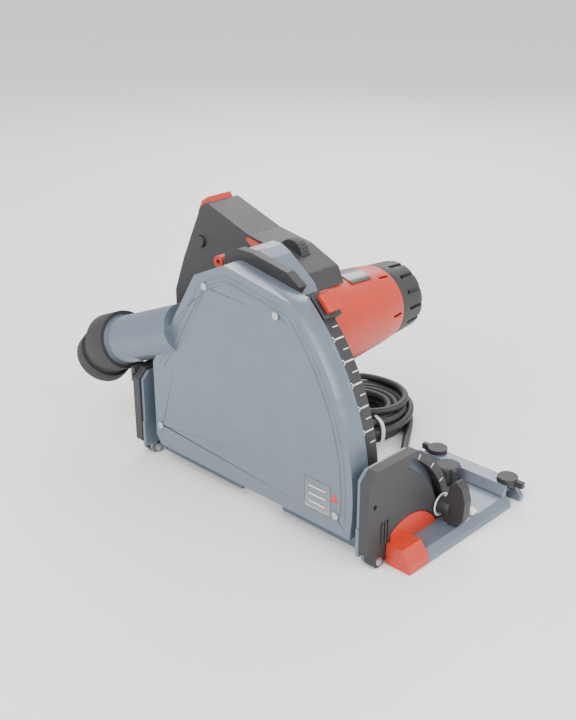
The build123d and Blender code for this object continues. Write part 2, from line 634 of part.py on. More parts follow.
# ---- gear cover: plate inside the guard that closes the neck and carries the riving knife ----
KNIFE_ANGLE = 215           # middle of the knife's seat, about the spindle
COVER_Y = (4.2, 9.5)
with BuildPart() as gear_cover:
    disc(*SPINDLE, NECK_RADIUS - 0.5, *COVER_Y)
    slab(
        [
            around(*SPINDLE, 20, KNIFE_ANGLE - 60),
            around(*SPINDLE, 98, KNIFE_ANGLE - 5),
            around(*SPINDLE, 98, KNIFE_ANGLE + 5),
            around(*SPINDLE, 20, KNIFE_ANGLE + 60),
        ],
        *COVER_Y,
    )
    disc(*SPINDLE, 9.5, COVER_Y[0] - 1, COVER_Y[1] + 1, mode=Mode.SUBTRACT)
    for seat in (KNIFE_ANGLE - 3, KNIFE_ANGLE + 3):
        disc(*around(*SPINDLE, 92, seat), 1.6, 0, 12, mode=Mode.SUBTRACT)
save(gear_cover, "gear_cover")

# ---- riving knife with its screws ----
KNIFE_END = 268
with BuildPart() as riving_knife:
    with BuildSketch(side_plane(COVER_Y[0])) as knife_seat:
        with BuildLine():
            outer = [around(*SPINDLE, 98, a) for a in (KNIFE_ANGLE - 6, KNIFE_ANGLE, KNIFE_ANGLE + 6)]
            inner = [around(*SPINDLE, 85, a) for a in (KNIFE_ANGLE + 6, KNIFE_ANGLE, KNIFE_ANGLE - 6)]
            ThreePointArc(*outer)
            Line(outer[2], inner[0])
            ThreePointArc(*inner)
            Line(inner[2], outer[0])
        make_face()
    extrude(knife_seat.sketch, amount=COVER_Y[0] + 0.8)
    with BuildSketch(side_plane(0.8)) as blade_arc:
        with BuildLine():
            middle = (KNIFE_ANGLE + KNIFE_END) / 2
            outer = [around(*SPINDLE, r, a) for r, a in ((98, KNIFE_ANGLE), (96, middle), (90, KNIFE_END))]
            inner = [around(*SPINDLE, 84, a) for a in (KNIFE_END - 3, middle, KNIFE_ANGLE)]
            ThreePointArc(*outer)
            Line(outer[2], inner[0])
            ThreePointArc(*inner)
            Line(inner[2], outer[0])
        make_face()
    extrude(blade_arc.sketch, amount=1.6)
    for seat in (KNIFE_ANGLE - 3, KNIFE_ANGLE + 3):
        disc(*around(*SPINDLE, 92, seat), 1.6, -2, 8, mode=Mode.SUBTRACT)
save(riving_knife, "riving_knife")

with BuildPart() as knife_screws:
    for seat in (KNIFE_ANGLE - 3, KNIFE_ANGLE + 3):
        disc(*around(*SPINDLE, 92, seat), 1.6, -0.8, 9)
        disc(*around(*SPINDLE, 92, seat), 2.2, -2.2, -0.8)
save(knife_screws, "knife_screws")


# ---- gear train ----
def gear(place, teeth, y0, y1, bore, tooth_angle):
    """Spur gear with straight-sided teeth; one tooth points at tooth_angle."""
    pitch_radius = GEAR_MODULE * teeth / 2
    root = pitch_radius - 1.2 * GEAR_MODULE
    tip = pitch_radius + 0.85 * GEAR_MODULE
    half_root = 0.24 * math.pi * GEAR_MODULE
    half_tip = 0.11 * math.pi * GEAR_MODULE
    with BuildSketch(side_plane(y1, *place)) as profile:
        Circle(root)
        with PolarLocations(0, teeth, start_angle=tooth_angle):
            corners = ((root - 0.5, -half_root), (tip, -half_tip), (tip, half_tip), (root - 0.5, half_root))
            Polygon(*corners, align=None)
        if bore:
            Circle(bore, mode=Mode.SUBTRACT)
    extrude(profile.sketch, amount=y1 - y0)


with BuildPart() as drive_gear:
    gear(SPINDLE, SPINDLE_TEETH, 22, 31, 7.5, GEAR_LINE)
save(drive_gear, "drive_gear")

with BuildPart() as intermediate_shaft:
    gear(IDLER, IDLER_SMALL_TEETH, 21.5, 31.5, 0, GEAR_LINE + 180 + 180 / IDLER_SMALL_TEETH)
    disc(*IDLER, 4, 16.5, 50)
save(intermediate_shaft, "intermediate_shaft")

with BuildPart() as intermediate_gear:
    gear(IDLER, IDLER_BIG_TEETH, 35.5, 44, 4, GEAR_LINE)
save(intermediate_gear, "intermediate_gear")

with BuildPart() as armature_shaft:
    gear(MOTOR, MOTOR_TEETH, 35.5, 44.5, 0, GEAR_LINE + 180 + 180 / MOTOR_TEETH)
    disc(*MOTOR, 4, 34, 188)
save(armature_shaft, "armature_shaft")

# ---- spindle, blade, flanges, screw ----
with BuildPart() as spindle:
    turned(
        [(0, -0.9), (BLADE_BORE, -0.9), (BLADE_BORE, 3.7), (7.5, 3.7), (7.5, 31.4), (5, 31.4), (5, 35), (0, 35)],
        *SPINDLE,
    )
    disc(*SPINDLE, 4, -2, 14, mode=Mode.SUBTRACT)
save(spindle, "spindle")

BLADE_TEETH = 24
with BuildPart() as saw_blade:
    with BuildSketch(side_plane(BLADE_THICK / 2, *SPINDLE)) as blade_face:
        Circle(BLADE_RADIUS - 7)
        with PolarLocations(0, BLADE_TEETH):
            Polygon(
                (BLADE_RADIUS - 9, -6),
                (BLADE_RADIUS - 3, -5),
                (BLADE_RADIUS - 0.1, 2),
                (BLADE_RADIUS - 9, 3),
                align=None,
            )
        Circle(BLADE_BORE, mode=Mode.SUBTRACT)
        with PolarLocations(36, 6):
            Circle(4, mode=Mode.SUBTRACT)
    extrude(blade_face.sketch, amount=BLADE_THICK)
save(saw_blade, "saw_blade")

with BuildPart() as blade_flanges:
    disc(*SPINDLE, 20, BLADE_THICK / 2, 3.7)
    disc(*SPINDLE, BLADE_BORE, BLADE_THICK / 2 - 1, 4, mode=Mode.SUBTRACT)
    disc(*SPINDLE, 20, -3.6, -BLADE_THICK / 2)
    disc(*SPINDLE, 4, -4, 0, mode=Mode.SUBTRACT)
save(blade_flanges, "blade_flanges")

with BuildPart() as blade_screw:
    disc(*SPINDLE, 4, -3.6, 13)
    disc(*SPINDLE, 7.5, -6.8, -3.6)
save(blade_screw, "blade_screw")

with BuildPart() as spindle_bearings:
    disc(*SPINDLE, 16, *FRONT_BEARING)
    disc(*SPINDLE, 7.5 + RUNNING, FRONT_BEARING[0] - 1, FRONT_BEARING[1] + 1, mode=Mode.SUBTRACT)
    disc(*SPINDLE, 9.5, *REAR_BEARING)
    disc(*SPINDLE, 5 + RUNNING, REAR_BEARING[0] - 1, REAR_BEARING[1] + 1, mode=Mode.SUBTRACT)
save(spindle_bearings, "spindle_bearings")

# ---- motor: housing, end cap, stator, armature, fan, brushes, bearings ----
CAP_START = 172
with BuildPart() as motor_housing:
    turned(
        [
            (MOTOR_RADIUS, MOTOR_START),
            (MOTOR_RADIUS + 0.5, 74),
            (45.5, 100),
            (41.5, 150),
            (38.5, CAP_START),
            (35.5, CAP_START),
            (38, 150),
            (40, 100),
            (43.5, 74),
            (43.5, MOTOR_START),
        ],
        *MOTOR,
    )
    with Locations(Pos(MOTOR[0], CUT_Y + 160, MOTOR[1]) * Rot(90, 0, 0)):
        with PolarLocations(38.5, 6, start_angle=-60):
            Box(12, 2.5, 14, mode=Mode.SUBTRACT)
save(motor_housing, "motor_housing")

def cap_screw_holes(mode):
    """Four screw heads, or the holes for them, in the end cap's face."""
    with Locations(Pos(MOTOR[0], CUT_Y + MOTOR_END - 2, MOTOR[1]) * Rot(90, 0, 0)):
        with PolarLocations(20, 4, start_angle=22.5):
            Cylinder(3, 4, mode=mode)


with BuildPart() as motor_end_cap:
    turned(
        [
            (38.5, CAP_START),
            (35.5, MOTOR_END - 3),
            (32, MOTOR_END),
            (0, MOTOR_END),
            (0, MOTOR_END - 4),
            (31, MOTOR_END - 4),
            (34.5, CAP_START + 12),
            (34.5, CAP_START),
        ],
        *MOTOR,
    )
    disc(*MOTOR, 35, CAP_START + 3, MOTOR_BEARINGS[1][1] + 1)
    disc(*MOTOR, 11, *MOTOR_BEARINGS[1], mode=Mode.SUBTRACT)
    disc(*MOTOR, 5, CAP_START, 190, mode=Mode.SUBTRACT)
    with Locations(Pos(MOTOR[0], CUT_Y + MOTOR_END - 12, MOTOR[1]) * Rot(90, 0, 0)):
        with PolarLocations(37, 14):
            Box(7, 4, 26, mode=Mode.SUBTRACT)
        with PolarLocations(24, 8):
            Box(16, 3.5, 40, mode=Mode.SUBTRACT)
    cap_screw_holes(Mode.SUBTRACT)
save(motor_end_cap, "motor_end_cap")

with BuildPart() as housing_screws:
    cap_screw_holes(Mode.ADD)
save(housing_screws, "housing_screws")

with BuildPart() as stator:
    disc(*MOTOR, 37.8, 84, 132)
    disc(*MOTOR, 27.5, 83, 133, mode=Mode.SUBTRACT)
save(stator, "stator")

with BuildPart() as armature_core:
    disc(*MOTOR, 26, 86, 130)
    disc(*MOTOR, 4, 85, 131, mode=Mode.SUBTRACT)
save(armature_core, "armature_core")

with BuildPart() as commutator:
    disc(*MOTOR, 13, 140, 158)
    disc(*MOTOR, 4, 139, 159, mode=Mode.SUBTRACT)
save(commutator, "commutator")

with BuildPart() as cooling_fan:
    disc(*MOTOR, 34, 64, 66)
    disc(*MOTOR, 10, 64, 76)
    with Locations(Pos(MOTOR[0], CUT_Y + 70, MOTOR[1]) * Rot(90, 0, 0)):
        with PolarLocations(21, 11):
            Box(24, 1.6, 10)
    disc(*MOTOR, 4, 63, 77, mode=Mode.SUBTRACT)
save(cooling_fan, "cooling_fan")

with BuildPart() as carbon_brushes:
    for side in (-1, 1):
        middle = MOTOR[0] + side * 23
        block(middle - 9.5, middle + 9.5, 145, 153, MOTOR[1] - 4, MOTOR[1] + 4)
save(carbon_brushes, "carbon_brushes")

with BuildPart() as armature_bearings:
    for bearing in MOTOR_BEARINGS:
        disc(*MOTOR, 11, *bearing)
        disc(*MOTOR, 4 + RUNNING, bearing[0] - 1, bearing[1] + 1, mode=Mode.SUBTRACT)
save(armature_bearings, "armature_bearings")

with BuildPart() as rating_plate:
    turned([(45.6, 112), (43.2, 142), (42.6, 142), (45, 112)], *MOTOR, arc=34, start=62)
save(rating_plate, "rating_plate")

# ---- handle: two moulded shells with a finger window, screwed together behind the motor ----
HANDLE_SPLIT = 81
HANDLE = (
    (1.5, 221),
    (-33.5, 236),
    (-75.5, 243),
    (-137.5, 264),
    (-146, 257),
    (-174.5, 198),
    (-189.5, 160),
    (-190, 125),
    (-178, 98),
    (-150, 86),
    (-112, 88),
    (-66, 104),
    (-30, 130),
    (20, 180),
)
FINGER_WINDOW = ((-152, 124), (-141, 186), (-120, 192), (-84, 180), (-72, 150), (-88, 122), (-120, 112))
HANDLE_SCREWS = ((-130, 246), (-60, 226), (-178, 140), (-130, 100), (-70, 120))
TRIGGER_POCKET = (-168, -140, 148, 187)
BUTTON_PLACE = (-146, 222)
DIAL_PLACE = (-36, 229)
DIAL_RADIUS = 15
TAIL_CAP = ((-137, 262.5), (-146, 257), (-153, 242), (-156, 250), (-150, 262), (-140, 268))
GLAND_START = Vector(-176, CUT_Y + HANDLE_SPLIT, 109.5)
CORD_EXIT = Vector(-205.2, CUT_Y + HANDLE_SPLIT, 87.6)


def handle_shell(y0, y1):
    """One half of the handle with its window, pockets and screw holes."""
    slab(HANDLE, y0, y1, rounding=7)
    slab(FINGER_WINDOW, y0 - 1, y1 + 1, mode=Mode.SUBTRACT, rounding=7)
    slab(TAIL_CAP, 66, 96, mode=Mode.SUBTRACT)
    disc(*MOTOR, MOTOR_RADIUS + 0.5, y0 - 1, y1 + 1, mode=Mode.SUBTRACT)
    x0, x1, z0, z1 = TRIGGER_POCKET
    block(x0, x1, 73, 89, z0, z1, mode=Mode.SUBTRACT)
    block(x0 - 9, x0 + 1, 74, 88, z0 + 4, z1 - 12, mode=Mode.SUBTRACT)
    disc(*DIAL_PLACE, DIAL_RADIUS + 1, 75, 87, mode=Mode.SUBTRACT)
    disc(*BUTTON_PLACE, 6.4, 50, 72, mode=Mode.SUBTRACT)
    for place in HANDLE_SCREWS:
        disc(*place, 1.8, HANDLE_NEAR + 6, HANDLE_FAR + 1, mode=Mode.SUBTRACT)
        disc(*place, 3.6, HANDLE_FAR - 3, HANDLE_FAR + 1, mode=Mode.SUBTRACT)
    with BuildSketch(Plane(origin=GLAND_START, z_dir=CORD_EXIT - GLAND_START)) as socket:
        Circle(8)
    extrude(socket.sketch, amount=40, mode=Mode.SUBTRACT)


with BuildPart() as handle_shell_near:
    handle_shell(HANDLE_NEAR, HANDLE_SPLIT)
save(handle_shell_near, "handle_shell_near")

with BuildPart() as handle_shell_far:
    handle_shell(HANDLE_SPLIT, HANDLE_FAR)
save(handle_shell_far, "handle_shell_far")

with BuildPart() as handle_screws:
    for place in HANDLE_SCREWS:
        disc(*place, 1.8, HANDLE_NEAR + 6, HANDLE_FAR - 2)
        disc(*place, 3.6, HANDLE_FAR - 3, HANDLE_FAR - 0.5)
save(handle_screws, "handle_screws")

# ---- handle trim: coloured cheek on the shell and cap at its rear top ----
with BuildPart() as handle_trim:
    slab(
        [(-82, 240), (-76, 241), (-34, 233), (4, 217), (8, 208), (-2, 200), (-22, 206), (-34, 216), (-58, 226)],
        HANDLE_NEAR - 2,
        HANDLE_NEAR,
        rounding=2,
    )
    disc(*MOTOR, MOTOR_RADIUS + 0.5, HANDLE_NEAR - 3, HANDLE_NEAR + 1, mode=Mode.SUBTRACT)
    slab(TAIL_CAP, 66, 96)
save(handle_trim, "handle_trim")

# ---- switch, trigger, release button, speed dial and spindle lock ----
with BuildPart() as switch_module:
    x0, x1, z0, z1 = TRIGGER_POCKET
    block(x0 - 8.8, x0, 74.2, 87.8, z0 + 4.2, z1 - 12.2)
save(switch_module, "switch_module")

with BuildPart() as trigger:
    slab([(-162, 150), (-162, 185), (-138, 185), (-135, 176), (-139, 158), (-146, 150)], 74, 88, rounding=2)
save(trigger, "trigger")

with BuildPart() as release_button:
    disc(*BUTTON_PLACE, 6, HANDLE_NEAR - 3, HANDLE_NEAR + 9)
    fillet(release_button.edges().group_by(Axis.Y)[0], 1.2)
save(release_button, "release_button")

with BuildPart() as speed_dial:
    disc(*DIAL_PLACE, DIAL_RADIUS, 75.5, 86.5)
    with Locations(Pos(DIAL_PLACE[0], CUT_Y + 81, DIAL_PLACE[1]) * Rot(90, 0, 0)):
        with PolarLocations(DIAL_RADIUS + 0.6, 24):
            Cylinder(1.1, 12, mode=Mode.SUBTRACT)
save(speed_dial, "speed_dial")

with BuildPart() as spindle_lock:
    rod(*LOCK_PLACE, 5, 29, 43)
    fillet(spindle_lock.edges().group_by(Axis.X)[-1], 1)
save(spindle_lock, "spindle_lock")

# ---- cord gland: tapered rubber strain relief ----
GLAND_END = CORD_EXIT - (CORD_EXIT - GLAND_START).normalized() * 1.5   # clear of the cord as the head tilts
with BuildPart() as cord_gland:
    with BuildSketch(Plane(origin=GLAND_START, z_dir=CORD_EXIT - GLAND_START)):
        Circle(8)
    with BuildSketch(Plane(origin=GLAND_END, z_dir=CORD_EXIT - GLAND_START)):
        Circle(5.2)
    loft()
save(cord_gland, "cord_gland")

# ---- mains cord: route laid by hand; (x, y from the cut line, z) ----
FLOOR_LINE = CORD_RADIUS + 0.1
ROUTE = (
    (-205.2, 81, 87.6),
    (-229.2, 81, 69.6),
    (-248, 92, 36),
    (-253, 122, 9),
    (-237, 163, FLOOR_LINE),
    (-192, 176, FLOOR_LINE),
    (-128, 138, FLOOR_LINE),
    (-78, 104, FLOOR_LINE),
    (-28, 90, FLOOR_LINE),
    (16, 93, FLOOR_LINE),
    (46, 120, FLOOR_LINE),
    (48, 156, FLOOR_LINE),
    (26, 186, FLOOR_LINE),
    (-6, 236, FLOOR_LINE),
)
TAIL = ((-80, 250, FLOOR_LINE), (-118, 254, 8), (-153, 240, 17))
PLUG_AXIS = Vector(-0.93, -0.37, 0).normalized()
COIL_CENTRE = (-53, 205)
COIL_RADIUS = 44
COIL_WIDE = 4
COIL_HIGH = 3


def cord_stretch(route):
    """Tube along straight runs joined by tangent arcs, each as large as its runs allow."""
    points = [Vector(x, CUT_Y + y, z) for x, y, z in route]
    radii = []
    for before, corner, after in zip(points, points[1:], points[2:]):
        run_in = corner - before
        run_out = after - corner
        half_turn = math.radians(run_in.get_angle(run_out)) / 2
        radii.append(0.45 * min(run_in.length, run_out.length) / math.tan(half_turn))
    with BuildLine() as path:
        FilletPolyline(*points, radius=radii)
    with BuildSketch(Plane(origin=points[0], z_dir=points[1] - points[0])) as section:
        Circle(CORD_RADIUS)
    sweep(section.sketch, path=path.line)
    length = sum(edge.length for edge in path.edges())
    print("cord radii", [round(radius, 1) for radius in radii])
    print("cord length", round(length, 1))
    return length


with BuildPart() as cord:
    laid = cord_stretch(ROUTE)
    laid += cord_stretch(TAIL)
print("cord volume", round(cord.part.volume), "section by length", round(math.pi * CORD_RADIUS**2 * laid))
save(cord, "cord")

COIL_HALF = COIL_WIDE * CORD_RADIUS
with BuildPart() as cord_coil:
    post(*COIL_CENTRE, COIL_RADIUS + COIL_HALF, 0, 2 * COIL_HIGH * CORD_RADIUS)
    fillet(cord_coil.edges(), CORD_RADIUS)
    post(*COIL_CENTRE, COIL_RADIUS - COIL_HALF, -1, 2 * COIL_HIGH * CORD_RADIUS + 1, mode=Mode.SUBTRACT)
save(cord_coil, "cord_coil")

# ---- mains plug: moulded two-pin plug lying on the floor ----
PLUG_RADIUS = 17
PLUG_START = Vector(TAIL[-1][0], CUT_Y + TAIL[-1][1], PLUG_RADIUS)
with BuildPart() as mains_plug:
    with BuildSketch(Plane(origin=PLUG_START, z_dir=PLUG_AXIS)):
        Circle(6)
    with BuildSketch(Plane(origin=PLUG_START + PLUG_AXIS * 22, z_dir=PLUG_AXIS)):
        Circle(PLUG_RADIUS - 3)
    loft()
    with BuildSketch(Plane(origin=PLUG_START + PLUG_AXIS * 22, z_dir=PLUG_AXIS)) as plug_face:
        Circle(PLUG_RADIUS)
    extrude(plug_face.sketch, amount=16)
    across_axis = PLUG_AXIS.cross(Vector(0, 0, 1))
    for side in (-9.5, 9.5):
        pin_root = PLUG_START + PLUG_AXIS * 37 + across_axis * side
        with BuildSketch(Plane(origin=pin_root, z_dir=PLUG_AXIS)) as plug_pin:
            Circle(2.4)
        extrude(plug_pin.sketch, amount=20)
save(mains_plug, "mains_plug")
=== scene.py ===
import json
import math

import bmesh
import bpy
import numpy as np
from mathutils import Matrix


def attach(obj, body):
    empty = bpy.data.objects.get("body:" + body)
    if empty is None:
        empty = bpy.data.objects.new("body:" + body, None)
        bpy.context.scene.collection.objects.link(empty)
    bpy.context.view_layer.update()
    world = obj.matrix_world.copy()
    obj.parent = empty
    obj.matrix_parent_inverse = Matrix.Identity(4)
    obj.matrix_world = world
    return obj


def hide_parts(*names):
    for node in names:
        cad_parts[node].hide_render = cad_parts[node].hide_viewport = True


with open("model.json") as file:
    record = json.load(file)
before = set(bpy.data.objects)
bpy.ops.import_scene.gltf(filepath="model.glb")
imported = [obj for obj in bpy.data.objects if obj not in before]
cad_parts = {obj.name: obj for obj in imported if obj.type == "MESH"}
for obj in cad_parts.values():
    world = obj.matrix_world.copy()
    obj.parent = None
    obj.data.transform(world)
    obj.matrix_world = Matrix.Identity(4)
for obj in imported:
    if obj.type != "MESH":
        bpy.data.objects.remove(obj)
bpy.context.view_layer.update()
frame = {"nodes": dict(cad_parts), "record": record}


# ---- floor: a plain pale sheet under the saw ----
# Matt card, so that it takes soft shadows and shows no sheen.
def linear(hex_colour):
    """Linear RGBA of an sRGB hex colour."""
    srgb = np.array([int(hex_colour[k:k + 2], 16) / 255 for k in (1, 3, 5)])
    rgb = np.where(srgb <= 0.04045, srgb / 12.92, ((srgb + 0.055) / 1.055) ** 2.4)
    return (*map(float, rgb), 1.0)


def add_node(tree, kind, settings=None, inputs=None, links=None):
    """Adds one shader node with its settings, its input values and its incoming links."""
    node = tree.nodes.new(kind)
    for name, value in (settings or {}).items():
        setattr(node, name, value)
    for name, value in (inputs or {}).items():
        node.inputs[name].default_value = value
    for name, socket in (links or {}).items():
        tree.links.new(socket, node.inputs[name])
    return node


def new_material(name, inputs):
    """Material with one Principled shader whose uniform values are set on its own sockets."""
    material = bpy.data.materials.new(name)
    material.use_nodes = True
    shader = material.node_tree.nodes["Principled BSDF"]
    for socket, value in inputs.items():
        shader.inputs[socket].default_value = value
    return material, material.node_tree, shader


def grain(tree, shader, per_metre, depth, spread=None, roughness=None, stretch=(1, 1, 1)):
    """Fine relief, with colour and roughness that vary a little with the same noise."""
    place = add_node(tree, "ShaderNodeTexCoord").outputs["Object"]
    scaled = add_node(tree, "ShaderNodeMapping", inputs={"Scale": stretch}, links={"Vector": place})
    noise = add_node(
        tree, "ShaderNodeTexNoise", inputs={"Scale": per_metre, "Detail": 3.0},
        links={"Vector": scaled.outputs["Vector"]},
    )
    bump = add_node(
        tree, "ShaderNodeBump", inputs={"Strength": 0.35, "Distance": depth},
        links={"Height": noise.outputs["Fac"]},
    )
    tree.links.new(bump.outputs["Normal"], shader.inputs["Normal"])
    broad = add_node(
        tree, "ShaderNodeTexNoise", inputs={"Scale": 45.0, "Detail": 4.0}, links={"Vector": place},
    )
    if spread:
        mix = add_node(
            tree, "ShaderNodeMix", {"data_type": "RGBA"}, links={0: broad.outputs["Fac"]},
        )
        mix.inputs[6].default_value = linear(spread[0])
        mix.inputs[7].default_value = linear(spread[1])
        tree.links.new(mix.outputs[2], shader.inputs["Base Color"])
    if roughness:
        rough = add_node(
            tree, "ShaderNodeMapRange", inputs={"To Min": roughness[0], "To Max": roughness[1]},
            links={"Value": broad.outputs["Fac"]},
        )
        tree.links.new(rough.outputs["Result"], shader.inputs["Roughness"])


def surface(name, points, material, body, closed_u=False, closed_v=False):
    """Piece whose mesh is a grid of points, joined to its neighbours along both parameters."""
    rows, columns, _ = points.shape
    u = np.arange(rows if closed_u else rows - 1)
    v = np.arange(columns if closed_v else columns - 1)
    a, b = np.meshgrid(u, v, indexing="ij")
    a1, b1 = (a + 1) % rows, (b + 1) % columns
    corners = [a * columns + b, a1 * columns + b, a1 * columns + b1, a * columns + b1]
    faces = np.stack(corners, -1).reshape(-1, 4)
    mesh = bpy.data.meshes.new(name)
    mesh.from_pydata(points.reshape(-1, 3).tolist(), [], faces.tolist())
    mesh.polygons.foreach_set("use_smooth", np.full(len(mesh.polygons), True))
    mesh.materials.append(material)
    if closed_v:
        shape = bmesh.new()
        shape.from_mesh(mesh)
        bmesh.ops.remove_doubles(shape, verts=shape.verts, dist=0.000005)
        bmesh.ops.recalc_face_normals(shape, faces=shape.faces)
        shape.to_mesh(mesh)
        shape.free()
    piece = bpy.data.objects.new(name, mesh)
    bpy.context.scene.collection.objects.link(piece)
    if body:
        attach(piece, body)
    return piece


card, tree, shader = new_material(
    "matt_card", {"Base Color": linear("#f4f4f3"), "Roughness": 0.9, "Specular IOR Level": 0.2}
)
FLOOR_REACH = 30             # metres from the middle to each edge, so that no edge is seen
FLOOR_DROP = 0.0002
across_floor = np.linspace(-FLOOR_REACH, FLOOR_REACH, 5)
floor_x, floor_y = np.meshgrid(across_floor, across_floor, indexing="ij")
floor_points = np.stack([floor_x, floor_y, np.full_like(floor_x, -FLOOR_DROP)], -1)
floor = surface("floor", floor_points, card, None)

# ---- camera and soft studio light ----
# The camera stands off the front corner on the guard side and looks down at about 24 degrees.
CUT_LINE = -0.048            # Y of the blade's plane, in metres


def stood(x_axis, y_axis, z_axis, place):
    """Matrix that stands an object at a place, with its three axes along these directions."""
    matrix = np.eye(4)
    matrix[:3] = np.stack([x_axis, y_axis, z_axis, place], -1)
    return Matrix(matrix.tolist())


eye = np.array([0.6288, CUT_LINE - 0.6112, 0.540])
camera_data = bpy.data.cameras.new("camera")
camera_data.lens = 66
camera_data.sensor_width = 36
camera_data.sensor_fit = "HORIZONTAL"
camera = bpy.data.objects.new("camera", camera_data)
bpy.context.scene.collection.objects.link(camera)
middle = np.array([-0.03, 0.018, 0.125])
ahead = (middle - eye) / np.linalg.norm(middle - eye)
right = np.cross(ahead, (0, 0, 1))
right /= np.linalg.norm(right)
up = np.cross(right, ahead)
camera.matrix_world = stood(right, up, -ahead, eye)
bpy.context.scene.camera = camera

world = bpy.data.worlds.new("studio")
bpy.context.scene.world = world
world.use_nodes = True
world.node_tree.nodes["Background"].inputs["Color"].default_value = linear("#ffffff")
world.node_tree.nodes["Background"].inputs["Strength"].default_value = 1.15
for lamp_name, place, size, power in (
    ("key", (0.2, -1.3, 1.5), 1.2, 34),
    ("fill", (1.5, 0.2, 0.9), 1.0, 18),
    ("back", (-0.9, 1.3, 1.3), 1.0, 20),
):
    lamp_data = bpy.data.lights.new(lamp_name, "AREA")
    lamp_data.size = size
    lamp_data.energy = power
    lamp = bpy.data.objects.new(lamp_name, lamp_data)
    bpy.context.scene.collection.objects.link(lamp)
    away = np.array(place) - middle
    away /= np.linalg.norm(away)
    side = np.cross((0, 0, 1), away)
    side /= np.linalg.norm(side)
    lamp.matrix_world = stood(side, np.cross(away, side), away, place)

# ---- mains cord: rubber-sheathed lead, wound into a coil for storage ----
# Extruded rubber: near black, with the faint lengthwise drag marks of the die.
cord_rubber, tree, shader = new_material(
    "extruded_rubber_sheath", {"Base Color": linear("#2a2a2b"), "Roughness": 0.55, "IOR": 1.52}
)
grain(tree, shader, 900.0, 0.0001, ("#232324", "#343435"), (0.48, 0.64))
CORD_RADIUS = 0.004
FLOOR_LINE = 0.0041                  # height of the lead's middle where it lies on the floor
ROUTE = (
    (-204.0, 81, 88.5), (-229.2, 81, 69.6), (-248, 92, 36), (-253, 122, 9), (-237, 163, 4.1),
    (-192, 176, 4.1), (-128, 138, 4.1), (-78, 104, 4.1), (-28, 90, 4.1), (16, 93, 4.1),
    (46, 120, 4.1), (48, 156, 4.1), (26, 186, 4.1),
)
TAIL = ((-86, 258, 26.5), (-104, 254, 22.5), (-121, 249, 19), (-137, 244, 17.2), (-153, 240, 17))
COIL_CENTRE = (-0.053, CUT_LINE + 0.205)
COIL_START = math.radians(33.4)      # where the lead runs onto the outer lane
COIL_TURNS = 10.74                   # up to where the last half turn begins
POINTS_PER_TURN = 16
LANES = (0.032, 0.056)               # inner and outer lane, four lanes in all
LANE_MOVES = ((0.7, 1), (1.7, 1), (2.7, 1), (4.1, -1), (5.1, -1), (6.1, -1), (7.5, 1), (8.5, 1), (9.5, 1))
LAYER_MOVES = (3.4, 6.8, 10.2)       # turns at which the lead climbs to the next layer
MOVE = 0.3                           # a move takes this part of a turn
LAST_TURN = math.radians(172)        # what the lead still turns on top of the coil
RUN_OUT = 0.0555                     # distance from the coil's centre where it leaves the top


def eased(turns, start):
    """0 before start and 1 after start + MOVE, with a smooth step, 3t^2 - 2t^3, between."""
    t = np.clip((turns - start) / MOVE, 0, 1)
    return 3 * t**2 - 2 * t**3


def around_coil(angle, radius, height):
    """Points at these angles and radii about the coil's centre."""
    x = COIL_CENTRE[0] + radius * np.cos(angle)
    y = COIL_CENTRE[1] + radius * np.sin(angle)
    return np.stack([x, y, height], -1)


def coil_points():
    """Turns side by side and on each other: four lanes, three full layers and the start of a fourth.

    The angle runs on steadily. The lane and the layer are sums of smooth steps, each a cord
    width, placed so that a climb is over before the lead shifts beside it.
    """
    turns = np.arange(int(COIL_TURNS * POINTS_PER_TURN) + 1) / POINTS_PER_TURN
    lane = sum(way * eased(turns, start) for start, way in LANE_MOVES)
    layer = sum(eased(turns, start) for start in LAYER_MOVES)
    radius = (LANES[1] - lane * (LANES[1] - LANES[0]) / 3) / math.cos(math.pi / POINTS_PER_TURN)
    height = FLOOR_LINE + 2 * CORD_RADIUS * layer
    return around_coil(COIL_START + 2 * math.pi * turns, radius, height)


def over_the_top():
    """The last half turn lies on the coil and runs out over its edge.

    The radius eases from the inner lane to the run-out distance, and the height stays.
    """
    last = COIL_START + 2 * math.pi * int(COIL_TURNS * POINTS_PER_TURN) / POINTS_PER_TURN
    part = np.linspace(0.1, 1, 8)
    radius = LANES[0] + (RUN_OUT - LANES[0]) * (3 * part**2 - 2 * part**3)
    height = np.full_like(part, FLOOR_LINE + 2 * CORD_RADIUS * len(LAYER_MOVES))
    return around_coil(last + part * LAST_TURN, radius, height)


def placed(points):
    """Route points in millimetres from the cut line, as metres in the frame."""
    return np.array(points) / 1000 + (0, CUT_LINE, 0)


route = np.vstack([placed(ROUTE), coil_points(), over_the_top(), placed(TAIL)])
cord_curve = bpy.data.curves.new("mains_lead", "CURVE")
cord_curve.dimensions = "3D"
cord_curve.bevel_depth = CORD_RADIUS
cord_curve.bevel_resolution = 4
cord_curve.use_fill_caps = True
spline = cord_curve.splines.new("NURBS")
spline.points.add(len(route) - 1)
spline.points.foreach_set("co", np.hstack([route, np.ones((len(route), 1))]).ravel())
spline.order_u = 3
spline.use_endpoint_u = True
spline.resolution_u = 6
cord_curve.materials.append(cord_rubber)
mains_lead = bpy.data.objects.new("mains_lead", cord_curve)
bpy.context.scene.collection.objects.link(mains_lead)
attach(mains_lead, "base")
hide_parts("cord", "cord_coil")

# ---- carried-over CAD nodes: one finish for each real material ----
# Enamel over a light-metal casting: satin, with a faint orange-peel from the spray.
enamel, tree, shader = new_material(
    "grey_enamel_on_casting",
    {"Roughness": 0.36, "Metallic": 0.25, "IOR": 1.5, "Coat Weight": 0.25, "Coat Roughness": 0.3},
)
grain(tree, shader, 420.0, 0.00012, ("#616c79", "#6c7784"), (0.31, 0.42))
